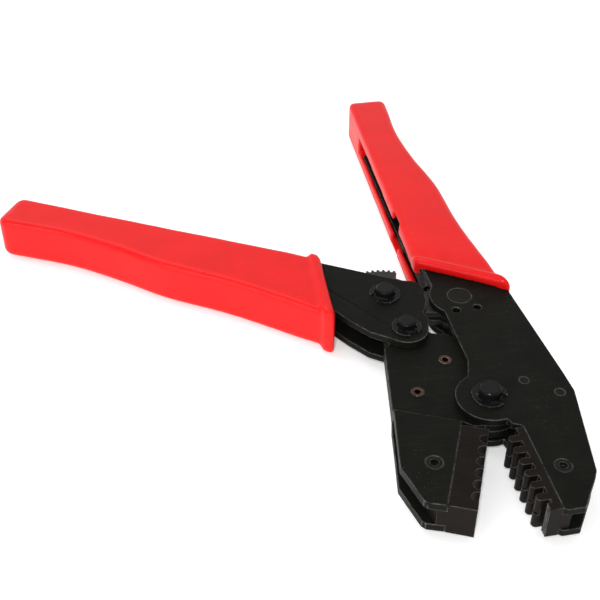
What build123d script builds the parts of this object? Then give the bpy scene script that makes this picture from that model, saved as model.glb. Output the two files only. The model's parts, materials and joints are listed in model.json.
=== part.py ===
from build123d import *

import os
from math import acos, atan2, cos, degrees, radians, sin, tan

# Hand crimping tool with a ratchet, lying on its side with its jaws open.
# Millimetres. While the pieces are made, the main pivot stands at X = Y = 0 and the
# tool's mid-plane is Z = 0. The fixed handle runs along +Y, the jaws point to -Y and
# the moving handle is on the -X side. At the end every piece moves by the same step,
# so that the origin is the middle of the whole tool's underside.

# ---------------------------------------------------------------- driving sizes

# stack of plates
tool_thickness = 10.9
plate_thickness = 2.4
jaw_plate_thickness = 2.5
side_play = 0.3            # between a moving flat piece and the plates beside it
running = 0.05             # radial clearance of a pin in a hole that turns on it

# linkage, in the open position
jaw_open_angle = 24.3      # from closed dies to fully open
toggle_x = 5.6             # adjusting pin that the toggle link pulls on
toggle_y = 46.8
jaw_crank = 37.7           # main pivot to handle pivot
jaw_crank_angle = 114.5    # direction of the handle pivot from the main pivot
handle_crank = 17.6        # handle pivot to toggle pin
link_length = 24.3         # toggle pin to adjusting pin
handle_bend = 50.5         # handle's axis, turned from the line handle pivot - toggle pin

# pins
main_pin_radius = 3.35
handle_pin_radius = 2.75
toggle_pin_radius = 3.1
adjust_pin_radius = 3.85   # its round end in the plates
eccentric_radius = 3.0     # its middle, which the link's eye runs on
main_stub = 3.7            # how far each pin stands out of the upper plate
handle_stub = 3.3
toggle_stub = 3.1
pin_head_height = 1.9
pin_head_overhang = 1.8
pin_chamfer = 0.5
head_chamfer = 0.4
clip_thickness = 0.7
clip_groove_depth = 0.6
clip_play = 0.05           # between a clip and the far side of its groove

# plates of the frame
boss_radius = 10.0
lobe_radius = 9.75
throat_x = -1.45           # inner edge between boss and lobe
tang_inner = -1.9          # inner edge of both handles' tangs, across the handle
tang_bend = 112.0          # where the tang's inner edge starts to follow the grip's taper
frame_wide_x = 25.4        # widest point, beside the main pivot
frame_shoulder_x = 19.3
frame_shoulder_y = -33.0
frame_tip_x = 11.5
rivet_radius = 1.5
die_screw_head_radius = 2.4
die_screw_radius = 1.6
socket_radius = 1.35       # of a die screw's hexagon socket
socket_depth = 1.3
spacer_radius = 3.0
spacer_rivet_radius = 1.6

# plates of the moving jaw and the moving handle
jaw_boss_radius = 9.2
jaw_eye_radius = 7.0
jaw_rivet_radius = 1.6
rivet_lip = 0.5            # how far a jaw rivet's head is rolled out and stands up
rivet_lip_height = 0.3
jaw_rivet_places = [(-14.8, 15.8), (-20.9, -0.3)]
joggle_angle = 58.0        # slope of the step from the jaw's pivot end to its die end
handle_inner = -5.5
handle_lobe_radius = 7.0
pivot_u = 24.6             # the handle pivot in the moving handle's own frame
pivot_v = 17.15
plate_play = 0.1

# dies
die_length = 30.3
die_near_pivot = 13.6      # distance from the main pivot to the start of the dies
die_seat_x = 5.5           # step of the fixed die, where the plates end
moving_seat_x = -6.6       # the same step of the moving die, with the jaws closed
die_tongue = 11.0
tongue_tip = 2.6           # how far the tongue reaches at the open end of the jaws
tongue_bevel = 10.5
tongue_play = 0.1
ridge_tip_x = -0.4
ridge_root_x = 3.1
ridge_pitch = 4.3
ridge_width = 2.5
ridge_count = 6
first_ridge = 4.0          # from the end of the die at the pivot
ridge_groove_half = 0.35   # of the groove that crosses the ridges at mid-height
ridge_groove_depth = 1.2
land_x = 1.7               # face of the flat land at the open end of the fixed die
land_length = 2.5
land_grooves = (0.85, 1.7)  # from the open end
land_groove_radius = 0.22
moving_face_x = 1.3
die_gap = 0.5              # left between ridge tips and nests when closed
nest_play = 0.35

# grips, in the frame of their own handle: u along it, v across it, outwards
grip_wall = 2.5
grip_end = 178.0
grip_front = 58.4          # where the slanted front crosses v = 0
grip_slant = 28.4          # degrees
grip_inner_front = -6.2
grip_inner_end = -2.2
lip_width = 4.6
lip_height = 1.0           # how far the lip stands out of the grip's sides
grip_outer_front = 22.4
grip_neck = 12.0           # depth of the outer edge at its narrowest
grip_round = 2.2
grip_end_round = 4.5
lip_round = 1.5
tang_short = 27.0          # from the grip's closed end back to the end of the steel
slot_short = 24.0          # and to the end of the slot
notch_from = 87.4
notch_length = 8.8
notch_half = 6.6

# ratchet
sector_radius = 17.0
tooth_pitch = 6.4
tooth_depth = 0.9
tooth_gap_share = 0.34      # half a gap's mouth, as a share of the pitch
tooth_root = 0.3           # half the width of a gap's floor
tooth_first = 64.0         # directions from the toggle pin, at rest
tooth_count = 6
pawl_play = 0.25
pawl_tip_angle = 122.0
pawl_pin_angle = 152.0
pawl_pin_distance = 25.5
pawl_pin_radius = 1.6
pawl_half = 1.7
pawl_hub_radius = 3.4
pawl_nose = 0.35
pawl_wire = 0.5
pawl_coil_radius = 2.2
pawl_leg = 7.0
coil_gap = 0.1             # between the pawl and its spring's turns

# toggle link
link_hub_radius = 8.0
link_arm_half = 5.5
heel_radius = 13.0
eye_wall = 3.2
eye_clearance = 0.5
eye_play = 2.3             # free travel of the adjusting pin in the link's eye
eye_play_angle = -113.0    # its direction, from the link's own line
link_post_radius = 0.9
link_post_u = 16.6
link_post_v = 2.0

# return spring
spring_wire = 0.8
spring_radius = 2.1
spring_bore = 1.2
coil_clear = 4.4           # straight wire between an end loop and the coils
anchor_radius = 2.0
anchor_v = 1.4
hook_play = 0.15
post_back = 0.65           # how far the link's post comes towards the anchor pin
post_away = 4.35           # how far it then goes from it as the tool closes
post_aside = 0.5
hook_slit = 0.6            # half the height of the slit that the hook lies in
hook_room = 5.2            # half the width of that slit

# adjusting wheel and its lock screw
wheel_thickness = 1.5
wheel_radius = 6.3
wheel_bore = 2.5
wheel_notches = 8
wheel_gap = 0.1            # between the wheel and the lower plate
wheel_stub = 0.9           # how far the adjusting pin stands out below the wheel
lock_head_radius = 1.9
lock_hole_radius = 1.35
clip_overhang = 1.9         # how far a clip stands out beyond its pin

# ---------------------------------------------------------------- derived places

half = tool_thickness / 2
plate_inner = half - plate_thickness
jaw_raised = half - jaw_plate_thickness
link_half = plate_inner - side_play


def at(x, y):
    return Vector(x, y, 0)


def polar(centre, radius, angle):
    """Point at a distance and direction from a centre, in the tool's plane."""
    return centre + Vector(radius * cos(radians(angle)), radius * sin(radians(angle)), 0)


def direction(start, end):
    return degrees(atan2(end.Y - start.Y, end.X - start.X))


def crossing(first, first_radius, second, second_radius):
    """Where two circles meet, on the left going from the first centre to the second."""
    reach = (second - first).length
    along = (first_radius**2 - second_radius**2 + reach**2) / (2 * reach)
    off = degrees(acos(along / first_radius))
    return polar(first, first_radius, direction(first, second) + off)


main_pivot = at(0, 0)
adjust_axis = at(toggle_x, toggle_y)
handle_pivot = polar(main_pivot, jaw_crank, jaw_crank_angle)
toggle_axis = crossing(handle_pivot, handle_crank, adjust_axis, link_length)
handle_angle = direction(handle_pivot, toggle_axis) + handle_bend

# Both handles share one outline. The fixed handle's frame is the tool's own, with u
# along +Y and v along +X. The moving handle's frame is its mirror twin, placed so
# that its handle pivot is at (pivot_u, pivot_v).
along_handle = Vector(cos(radians(handle_angle)), sin(radians(handle_angle)), 0)
across_handle = Vector(-along_handle.Y, along_handle.X, 0)
handle_origin = handle_pivot - along_handle * pivot_u - across_handle * pivot_v

level = Plane.XY
fixed_handle = Plane(origin=(0, 0, 0), x_dir=(0, 1, 0), z_dir=(0, 0, -1))
moving_handle = Plane(origin=handle_origin, x_dir=along_handle, z_dir=(0, 0, 1))
# the jaw is drawn closed and stands turned back by its opening angle
jaw = Plane(
    origin=(0, 0, 0),
    x_dir=(cos(radians(jaw_open_angle)), -sin(radians(jaw_open_angle)), 0),
    z_dir=(0, 0, 1),
)
link_angle = direction(toggle_axis, adjust_axis)
link = Plane(
    origin=toggle_axis,
    x_dir=(cos(radians(link_angle)), sin(radians(link_angle)), 0),
    z_dir=(0, 0, 1),
)

slant = tan(radians(grip_slant))
rivet_spots = [(12.3, 4.6), (frame_wide_x - 4.5, -2.2)]
lock_hole_spots = [(toggle_x - 3.2, toggle_y - 6.9), (toggle_x + 3.9, toggle_y - 6.7)]
tang_end = grip_end - tang_short
slot_end = grip_end - slot_short
anchor_u = notch_from + notch_length / 2
spacer_spots = [(grip_front + 19.6, 8.0), (tang_end - 14.0, 5.0)]
die_end_y = -die_near_pivot - die_length
screw_y = -die_near_pivot - die_length / 2 - 0.9
fixed_screw_x = die_seat_x + die_tongue / 2
moving_screw_x = moving_seat_x - die_tongue / 2
pawl_axis = polar(toggle_axis, pawl_pin_distance, pawl_pin_angle)
pawl_tip = polar(toggle_axis, sector_radius + pawl_play, pawl_tip_angle)
fixed_anchor = at(anchor_v, anchor_u)


def local(plane, point):
    """A point of the tool's plane, in a plane's own two coordinates."""
    spot = plane.to_local_coords(point)
    return (spot.X, spot.Y)


# ---------------------------------------------------------------- shared outlines


def layer(plane, low, high):
    """The plane from which extrude(amount=high - low) fills the heights low to high."""
    height = low if plane.z_dir.Z > 0 else high
    return Plane(origin=plane.origin + Vector(0, 0, height), x_dir=plane.x_dir, z_dir=plane.z_dir)


def grip_front_at(v):
    return (grip_front - slant * v, v)


def outer_edge(inset):
    """Points of a grip's outer edge, or of a line that far inside it."""
    depth = grip_neck - inset
    span = grip_end - grip_front
    return [
        grip_front_at(grip_outer_front - inset),
        (grip_front + 0.05 * span, grip_outer_front - inset - 2.8),
        (grip_front + 0.23 * span, depth + 5.2),
        (grip_front + 0.43 * span, depth + 4.5),
        (grip_front + 0.60 * span, depth + 1.4),
        (grip_front + 0.77 * span, depth),
        (grip_end, depth + 1.9),
    ]


def grip_shape():
    """Outline of a grip: straight inside, a neck and a shoulder outside."""
    outer = outer_edge(0.0)
    with BuildSketch() as shape:
        with BuildLine():
            Line(grip_front_at(grip_inner_front), (grip_end, grip_inner_end))
            Spline(outer)
            Line(outer[-1], (grip_end, grip_inner_end))
            Line(grip_front_at(grip_inner_front), outer[0])
        make_face()
        fillet(vertices().group_by(Axis.X)[-1], radius=grip_end_round)
    return shape.sketch


def tang_shape():
    """The part of a handle plate that lies inside the grip's walls."""
    outer = outer_edge(grip_wall)
    inner_end = grip_inner_end + grip_wall - 1.0
    with BuildSketch() as shape:
        with BuildLine():
            Spline(outer)
            Polyline(outer[-1], (outer[-1][0], inner_end), (tang_bend, tang_inner))
            Polyline((tang_bend, tang_inner), grip_front_at(tang_inner), outer[0])
        make_face()
        with Locations((tang_end + 50.0, 0)):
            Rectangle(100.0, 100.0, mode=Mode.SUBTRACT)
    return shape.sketch


def frame_outline():
    """A frame plate in the fixed handle's frame: jaw end, boss, toggle lobe and tang."""
    edge = [
        (tang_inner, 66.0),
        (tang_inner, toggle_y),
        (throat_x, toggle_y),
        (throat_x, 16.0),
        (-3.9, 8.6),
        (0.0, 0.0),
        (2.6, 1.8 - die_near_pivot),
        (die_seat_x - 0.8, 0.9 - die_near_pivot),
        (die_seat_x, 0.2 - die_near_pivot),
        (die_seat_x, die_end_y),
        (die_seat_x + 1.0, die_end_y - 0.7),
        (frame_tip_x, die_end_y - 0.7),
        (frame_shoulder_x - 1.3, frame_shoulder_y - 2.3),
        (frame_shoulder_x, frame_shoulder_y),
        (frame_wide_x, -2.3),
        (frame_wide_x - 0.3, 5.0),
        (22.2, 47.0),
        (17.0, 60.0),
        (16.0, 66.0),
        (tang_inner, 66.0),
    ]
    with BuildSketch() as shape:
        add(tang_shape())
        with BuildLine():
            Polyline([(y, x) for x, y in edge])
        make_face()
        Circle(boss_radius)
        with Locations((toggle_y, toggle_x)):
            Circle(lobe_radius)
    return shape.sketch


def handle_outline():
    """A moving handle plate in its handle's frame: pivot lobe, toggle end and tang."""
    edge = [
        (grip_front + 6.0, handle_inner),
        (pivot_u + 8.6, handle_inner - 0.2),
        (pivot_u + 4.6, handle_inner - 1.2),
        (pivot_u + 2.2, handle_inner - 0.8),
        (pivot_u + 0.4, handle_inner + 1.4),
        (pivot_u - 2.2, handle_inner + 7.0),
        (pivot_u - 3.0, handle_inner + 10.6),
        (pivot_u - 3.0, handle_inner + 13.4),
        (pivot_u - 5.4, handle_inner + 15.6),
        (pivot_u - 6.6, pivot_v - 2.2),
        (pivot_u, pivot_v),
        (pivot_u + 2.0, pivot_v + 6.7),
        (pivot_u + 10.1, pivot_v + 6.0),
        (pivot_u + 17.6, pivot_v + 3.0),
        (pivot_u + 23.4, pivot_v + 0.1),
        (grip_front - 2.0, 16.8),
        (grip_front + 6.0, 15.0),
        (grip_front + 6.0, handle_inner),
    ]
    with BuildSketch() as shape:
        add(tang_shape())
        with BuildLine():
            Polyline(edge)
        make_face()
        with Locations((pivot_u, pivot_v)):
            Circle(handle_lobe_radius)
    return shape.sketch


def jaw_outline():
    """A jaw plate in the jaw's frame, drawn with the jaws closed."""
    pivot_x, pivot_y = local(jaw, handle_pivot)
    edge = [
        (moving_seat_x, 1.6 - die_near_pivot),
        (moving_seat_x, die_end_y),
        (moving_seat_x - 5.0, die_end_y - 0.4),
        (moving_seat_x - 6.4, die_end_y + 0.3),
        (-20.9, -33.6),
        (-24.3, -20.0),
        (-26.4, -12.0),
        (-27.5, -7.5),
        (pivot_x - 5.6, pivot_y - 7.6),
        (pivot_x, pivot_y),
        (pivot_x + 2.5, pivot_y + 6.5),
        (pivot_x + 7.6, pivot_y + 2.8),
        (pivot_x + 13.5, pivot_y + 3.4),
        (5.3, 7.5),
        (0.0, 0.0),
        (0.0, -jaw_boss_radius),
        (moving_seat_x, 1.6 - die_near_pivot),
    ]
    with BuildSketch() as shape:
        with BuildLine():
            Polyline(edge)
        make_face()
        Circle(jaw_boss_radius)
        with Locations((pivot_x, pivot_y)):
            Circle(jaw_eye_radius)
    return shape.sketch


def die_tongue_shape(side):
    """The die's thin tongue, seen from above, on the side of the seat it reaches to."""
    seat = die_seat_x if side > 0 else moving_seat_x
    edge = [
        (0.0, die_end_y),
        (tongue_tip, die_end_y),
        (die_tongue, die_end_y + tongue_bevel),
        (die_tongue, die_end_y + die_length - 1.0),
        (0.0, die_end_y + die_length - 1.0),
    ]
    with BuildSketch() as shape:
        with BuildLine():
            Polyline([(seat + side * x, y) for x, y in edge], close=True)
        make_face()
    return shape.sketch


def drill(spots, radius):
    """Straight holes through the whole piece, at points of the tool's plane."""
    with BuildSketch(layer(level, -tool_thickness, tool_thickness)) as holes:
        with Locations(*spots):
            Circle(radius)
    extrude(holes.sketch, amount=2 * tool_thickness, mode=Mode.SUBTRACT)


def turned(centre, steps):
    """A turned piece on a vertical axis, from (radius, height) corners, bottom to top."""
    upright = Plane(origin=centre, x_dir=(1, 0, 0), z_dir=(0, -1, 0))
    corners = [(0, steps[0][1])] + steps + [(0, steps[-1][1])]
    with BuildPart() as piece:
        with BuildSketch(upright):
            with BuildLine():
                Polyline(corners + corners[:1])
            make_face()
        revolve(axis=Axis(centre, (0, 0, 1)))
    return piece.part


def pivot_pin(centre, radius, stub, play):
    """Pivot pin: a head below, a groove for its clip and a chamfered stub above."""
    head = radius + pin_head_overhang
    low = half + play
    groove = radius - clip_groove_depth
    groove_top = low + clip_thickness + clip_play
    top = half + stub
    return turned(
        centre,
        [
            (head - head_chamfer, -low - pin_head_height),
            (head, -low - pin_head_height + head_chamfer),
            (head, -low),
            (radius, -low),
            (radius, low),
            (groove, low),
            (groove, groove_top),
            (radius, groove_top),
            (radius, top - pin_chamfer),
            (radius - pin_chamfer, top),
        ],
    )


def pin_clip(centre, pin_radius, play, mouth_angle):
    """E-clip: a ring with a mouth and three inner lobes that sit in the pin's groove."""
    seat = pin_radius - clip_groove_depth
    ring = pin_radius + clip_overhang
    relief = seat + 0.45 * (ring - seat)
    with BuildPart() as clip:
        with BuildSketch(layer(level, half + play, half + play + clip_thickness)):
            with Locations((centre.X, centre.Y)):
                Circle(ring)
                Circle(relief, mode=Mode.SUBTRACT)
            for turn in (90, 180, 270):
                spot = polar(centre, (seat + ring) / 2, mouth_angle + turn)
                with Locations(Location((spot.X, spot.Y, 0), (0, 0, mouth_angle + turn))):
                    Rectangle(ring - seat, seat, mode=Mode.ADD)
            mouth = polar(centre, ring, mouth_angle)
            with Locations(Location((mouth.X, mouth.Y, 0), (0, 0, mouth_angle))):
                Rectangle(2 * ring, 1.5 * seat, mode=Mode.SUBTRACT)
            with Locations((centre.X, centre.Y)):
                Circle(seat, mode=Mode.SUBTRACT)
        extrude(amount=clip_thickness)
    return clip.part


def tooth_gap():
    """Gap between two ratchet teeth, open towards +X, with its mouth on the rim."""
    mouth = tooth_gap_share * radians(tooth_pitch) * sector_radius
    edge = [
        (0.0, -mouth),
        (-tooth_depth, -tooth_root),
        (-tooth_depth, tooth_root),
        (0.0, mouth),
        (1.0, mouth),
        (1.0, -mouth),
    ]
    with BuildSketch() as gap:
        with BuildLine():
            Polyline(edge, close=True)
        make_face()
    return gap.sketch


def grip_lip():
    """The rolled rim round a grip's slanted front, in the handle's frame."""
    lip_half = half + grip_wall + lip_height
    inner = grip_inner_front - lip_height
    outer = grip_outer_front + lip_height
    corners = [grip_front_at(inner), grip_front_at(outer)]
    corners += [(u + lip_width, v) for u, v in reversed(corners)]
    with BuildPart() as lip:
        with BuildSketch(Plane.XY.offset(-lip_half)):
            with BuildLine():
                Polyline(corners + corners[:1])
            make_face()
            fillet(vertices(), radius=lip_width * 0.38)
        extrude(amount=2 * lip_half)
        fillet(edges().group_by(Axis.Z)[0] + edges().group_by(Axis.Z)[-1], radius=lip_round)
    return lip.part


def grip_blank():
    """A grip's outer shape, solid, in the handle's frame."""
    body_half = half + grip_wall
    lip = grip_lip()
    with BuildPart() as blank:
        with BuildSketch(Plane.XY.offset(-body_half)):
            add(grip_shape())
        extrude(amount=2 * body_half)
        fillet(edges().group_by(Axis.Z)[0] + edges().group_by(Axis.Z)[-1], radius=grip_round)
        add(lip)
    return blank.part


def handle_grip(plane, plate_outline):
    """A PVC sleeve: walls round the tang, a slot along the inside and a notch in its lips."""
    blank = grip_blank().moved(plane.location)
    with BuildPart() as grip:
        add(blank)
        with BuildSketch(layer(plane, -half, half)):
            add(plate_outline())
        extrude(amount=2 * half, mode=Mode.SUBTRACT)
        with BuildSketch(layer(plane, -plate_inner, plate_inner)):
            with Locations(((grip_front + slot_end) / 2, tang_inner - 10.0)):
                Rectangle(slot_end - grip_front + 16.0, 20.0)
        extrude(amount=2 * plate_inner, mode=Mode.SUBTRACT)
        with BuildSketch(layer(plane, -notch_half, notch_half)):
            with Locations((notch_from + notch_length / 2, tang_inner - 10.0)):
                Rectangle(notch_length, 20.0)
        extrude(amount=2 * notch_half, mode=Mode.SUBTRACT)
    return grip.part


def spacer(centre):
    """A spacer bar between two plates, riveted into both."""
    return turned(
        centre,
        [
            (spacer_rivet_radius, -half),
            (spacer_rivet_radius, -plate_inner),
            (spacer_radius, -plate_inner),
            (spacer_radius, plate_inner),
            (spacer_rivet_radius, plate_inner),
            (spacer_rivet_radius, half),
        ],
    )


def die_screw(centre):
    """Socket screw whose head is let into the upper plate."""
    with BuildPart() as screw:
        add(
            turned(
                centre,
                [
                    (die_screw_radius, -half + 0.2),
                    (die_screw_radius, plate_inner),
                    (die_screw_head_radius, plate_inner),
                    (die_screw_head_radius, half - 0.15),
                    (die_screw_head_radius - 0.25, half),
                ],
            )
        )
        with BuildSketch(layer(level, half - socket_depth, half)):
            with Locations((centre.X, centre.Y)):
                RegularPolygon(radius=socket_radius, side_count=6)
        extrude(amount=socket_depth, mode=Mode.SUBTRACT)
    return screw.part


# ---------------------------------------------------------------- frame body

pieces = {}
screw_in_frame = at(fixed_screw_x, screw_y)

for name, low in (("frame_plate_upper", plate_inner), ("frame_plate_lower", -half)):
    with BuildPart() as frame_plate:
        with BuildSketch(layer(fixed_handle, low, low + plate_thickness)):
            add(frame_outline())
        extrude(amount=plate_thickness)
        drill([(0, 0)], main_pin_radius)
        drill([(toggle_x, toggle_y)], adjust_pin_radius)
        drill(rivet_spots, rivet_radius)
        drill(lock_hole_spots, lock_hole_radius)
        drill([(v, u) for u, v in spacer_spots], spacer_rivet_radius)
        drill([(anchor_v, anchor_u)], anchor_radius)
        upper = low > 0
        drill([(fixed_screw_x, screw_y)], die_screw_head_radius if upper else die_screw_radius)
    pieces[name] = frame_plate.part

with BuildPart() as frame_spacer_plate:
    with BuildSketch(layer(level, -plate_inner, plate_inner)):
        with Locations(*rivet_spots):
            Circle(spacer_radius)
        make_hull()
    extrude(amount=2 * plate_inner)
    drill(rivet_spots, rivet_radius)
pieces["frame_spacer_plate"] = frame_spacer_plate.part

with BuildPart() as frame_rivets:
    with BuildSketch(layer(level, -half, half)):
        with Locations(*rivet_spots):
            Circle(rivet_radius)
    extrude(amount=2 * half)
pieces["frame_rivets"] = frame_rivets.part

with BuildPart() as fixed_handle_spacers:
    for u, v in spacer_spots:
        add(spacer(at(v, u)))
pieces["fixed_handle_spacers"] = fixed_handle_spacers.part

pieces["spring_anchor_pin"] = turned(fixed_anchor, [(anchor_radius, -half), (anchor_radius, half)])

with BuildPart() as fixed_die:
    ridge_length = (ridge_root_x + die_seat_x) / 2 - ridge_tip_x
    with BuildSketch(layer(level, -half, half)):
        with Locations(((ridge_root_x + die_seat_x) / 2, die_end_y + die_length / 2)):
            Rectangle(die_seat_x - ridge_root_x, die_length)
        for number in range(ridge_count):
            ridge_y = -die_near_pivot - first_ridge - number * ridge_pitch
            with Locations((ridge_tip_x + ridge_length / 2, ridge_y)):
                SlotOverall(ridge_length, ridge_width)
        with Locations(((land_x + ridge_root_x) / 2 + 0.5, die_end_y + land_length / 2)):
            Rectangle(ridge_root_x - land_x + 1.0, land_length)
        for groove in land_grooves:
            with Locations((land_x, die_end_y + groove)):
                Circle(land_groove_radius, mode=Mode.SUBTRACT)
    extrude(amount=tool_thickness)
    tongue_half = plate_inner - tongue_play
    with BuildSketch(layer(level, -tongue_half, tongue_half)):
        add(die_tongue_shape(1))
    extrude(amount=2 * tongue_half)
    drill([(fixed_screw_x, screw_y)], die_screw_radius)
    with BuildSketch(layer(level, -ridge_groove_half, ridge_groove_half)):
        with Locations((ridge_tip_x, die_end_y + (die_length + land_length) / 2)):
            Rectangle(2 * ridge_groove_depth, die_length - land_length)
    extrude(amount=2 * ridge_groove_half, mode=Mode.SUBTRACT)
pieces["fixed_die"] = fixed_die.part

pieces["fixed_die_screw"] = die_screw(screw_in_frame)
pieces["main_pivot_pin"] = pivot_pin(main_pivot, main_pin_radius, main_stub, 0.0)
pieces["main_pivot_clip"] = pin_clip(main_pivot, main_pin_radius, 0.0, -35.0)

wheel_low = -half - wheel_gap - wheel_thickness
pieces["toggle_adjust_pin"] = turned(
    adjust_axis,
    [
        (wheel_bore, wheel_low - wheel_stub),
        (wheel_bore, -half),
        (adjust_pin_radius, -half),
        (adjust_pin_radius, -plate_inner),
        (eccentric_radius, -plate_inner),
        (eccentric_radius, plate_inner),
        (adjust_pin_radius, plate_inner),
        (adjust_pin_radius, half),
    ],
)

lock_spot = at(*lock_hole_spots[1])
lock_distance = (lock_spot - adjust_axis).length
lock_angle = direction(adjust_axis, lock_spot)
with BuildPart() as adjuster_wheel:
    with BuildSketch(layer(level, wheel_low, wheel_low + wheel_thickness)):
        with Locations((toggle_x, toggle_y)):
            Circle(wheel_radius)
            Circle(wheel_bore, mode=Mode.SUBTRACT)
        with Locations((toggle_x, toggle_y)):
            with PolarLocations(lock_distance, wheel_notches, start_angle=lock_angle):
                Circle(lock_head_radius + wheel_gap, mode=Mode.SUBTRACT)
    extrude(amount=wheel_thickness)
pieces["adjuster_wheel"] = adjuster_wheel.part

pieces["adjuster_lock_screw"] = turned(
    lock_spot,
    [
        (lock_head_radius - 0.3, wheel_low - 0.3),
        (lock_head_radius, wheel_low),
        (lock_head_radius, -half),
        (lock_hole_radius, -half),
        (lock_hole_radius, -plate_inner),
    ],
)

pieces["fixed_grip"] = handle_grip(fixed_handle, frame_outline)

# the return spring lies between the frame plates, from the link's post to its anchor pin
post_spot = link.from_local_coords(Vector(link_post_u, link_post_v, 0))
spring_angle = direction(post_spot, fixed_anchor)
spring_span = (fixed_anchor - post_spot).length
spring_line = Plane(
    origin=post_spot,
    x_dir=(cos(radians(spring_angle)), sin(radians(spring_angle)), 0),
    z_dir=(0, 0, 1),
)
post_loop = link_post_radius + post_aside + hook_play + spring_wire / 2
anchor_loop = anchor_radius + hook_play + spring_wire / 2
coil_from = post_back + post_loop + coil_clear
coil_to = spring_span - anchor_loop - coil_clear
turns = int((coil_to - coil_from) / spring_wire)
coil_pitch = (coil_to - coil_from) / turns
with BuildPart() as return_spring:
    with BuildSketch(spring_line):
        with BuildLine():
            Line((coil_from, spring_bore), (coil_from, spring_radius))
            for turn in range(turns):
                near = coil_from + turn * coil_pitch
                far = near + coil_pitch
                crest = (near + coil_pitch / 2, spring_radius + spring_wire / 2)
                ThreePointArc((near, spring_radius), crest, (far, spring_radius))
            Polyline((coil_to, spring_radius), (coil_to, spring_bore), (coil_from, spring_bore))
        make_face()
    revolve(axis=Axis(spring_line.origin, spring_line.x_dir))
    # a long hook that the post can travel in, and a round one on the anchor pin
    with BuildSketch(layer(spring_line, -spring_wire / 2, spring_wire / 2)):
        with Locations(((post_back - post_away) / 2, 0)):
            SlotCenterToCenter(post_back + post_away, 2 * post_loop + spring_wire)
            SlotCenterToCenter(
                post_back + post_away, 2 * post_loop - spring_wire, mode=Mode.SUBTRACT
            )
        with Locations((spring_span, 0)):
            Circle(anchor_loop + spring_wire / 2)
            Circle(anchor_loop - spring_wire / 2, mode=Mode.SUBTRACT)
    extrude(amount=spring_wire)
    # straight wire from each hook into the first and last coil
    overlap = 0.5
    legs = (
        (post_back + post_loop, coil_from + overlap),
        (coil_to - overlap, spring_span - anchor_loop),
    )
    for low_u, high_u in legs:
        with BuildSketch(layer(spring_line, -spring_wire / 2, spring_wire / 2)):
            with Locations(((low_u + high_u) / 2, 0)):
                Rectangle(high_u - low_u, 2 * spring_bore + overlap)
        extrude(amount=spring_wire)
pieces["return_spring"] = return_spring.part

# ---------------------------------------------------------------- moving jaw body

jaw_screw_spot = jaw.from_local_coords(Vector(moving_screw_x, screw_y, 0))
rivets_in_jaw = [jaw.from_local_coords(Vector(x, y, 0)) for x, y in jaw_rivet_places]

joggle_shift = jaw_plate_thickness * tan(radians(joggle_angle / 2))
joggle_run = jaw_raised / tan(radians(joggle_angle))
joggle_end = -die_near_pivot + 0.2
for name, side in (("jaw_plate_upper", 1), ("jaw_plate_lower", -1)):
    with BuildPart() as jaw_plate:
        low, high = sorted((0, side * half))
        with BuildSketch(layer(jaw, low, high)):
            add(jaw_outline())
        extrude(amount=half)
        side_origin = jaw.from_local_coords(Vector(-60, 0, 0))
        across = Plane(origin=side_origin, x_dir=jaw.y_dir, z_dir=jaw.x_dir)
        with BuildSketch(across):
            with BuildLine():
                Polyline(
                    (60.0, 0),
                    (joggle_end + joggle_run, 0),
                    (joggle_end, side * jaw_raised),
                    (-70.0, side * jaw_raised),
                    (-70.0, side * half),
                    (joggle_end + joggle_shift, side * half),
                    (joggle_end + joggle_run + joggle_shift, side * jaw_plate_thickness),
                    (60.0, side * jaw_plate_thickness),
                    (60.0, 0),
                )
            make_face()
        extrude(amount=120.0, mode=Mode.INTERSECT)
        drill([(0, 0)], main_pin_radius + running)
        drill([(handle_pivot.X, handle_pivot.Y)], handle_pin_radius)
        drill([(spot.X, spot.Y) for spot in rivets_in_jaw], jaw_rivet_radius)
        screw_hole = die_screw_head_radius if side > 0 else die_screw_radius
        drill([(jaw_screw_spot.X, jaw_screw_spot.Y)], screw_hole)
    pieces[name] = jaw_plate.part

with BuildPart() as jaw_rivets:
    for spot in rivets_in_jaw:
        add(
            turned(
                spot,
                [
                    (jaw_rivet_radius, -jaw_plate_thickness),
                    (jaw_rivet_radius, jaw_plate_thickness),
                    (jaw_rivet_radius + rivet_lip, jaw_plate_thickness),
                    (jaw_rivet_radius + rivet_lip - 0.1, jaw_plate_thickness + rivet_lip_height),
                ],
            )
        )
        with BuildSketch(layer(level, 0, jaw_plate_thickness + rivet_lip_height)):
            with Locations((spot.X, spot.Y)):
                RegularPolygon(radius=jaw_rivet_radius * 0.72, side_count=6)
        extrude(amount=jaw_plate_thickness + rivet_lip_height, mode=Mode.SUBTRACT)
pieces["jaw_rivets"] = jaw_rivets.part

with BuildPart() as moving_die:
    with BuildSketch(layer(jaw, -half, half)):
        with Locations(((moving_seat_x + moving_face_x) / 2, die_end_y + die_length / 2)):
            Rectangle(moving_face_x - moving_seat_x, die_length)
        for number in range(ridge_count):
            ridge_y = -die_near_pivot - first_ridge - number * ridge_pitch
            nest_width = ridge_width + 2 * nest_play
            nest_floor = ridge_tip_x - die_gap
            with Locations((nest_floor + nest_width, ridge_y)):
                SlotOverall(2 * nest_width, nest_width, mode=Mode.SUBTRACT)
    extrude(amount=tool_thickness)
    tongue_half = jaw_raised - tongue_play
    with BuildSketch(layer(jaw, -tongue_half, tongue_half)):
        add(die_tongue_shape(-1))
    extrude(amount=2 * tongue_half)
    drill([(jaw_screw_spot.X, jaw_screw_spot.Y)], die_screw_radius)
pieces["moving_die"] = moving_die.part

pieces["moving_die_screw"] = die_screw(jaw_screw_spot)
pieces["handle_pivot_pin"] = pivot_pin(handle_pivot, handle_pin_radius, handle_stub, plate_play)
pieces["handle_pivot_clip"] = pin_clip(handle_pivot, handle_pin_radius, plate_play, -70.0)

# ---------------------------------------------------------------- moving handle body

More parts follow.
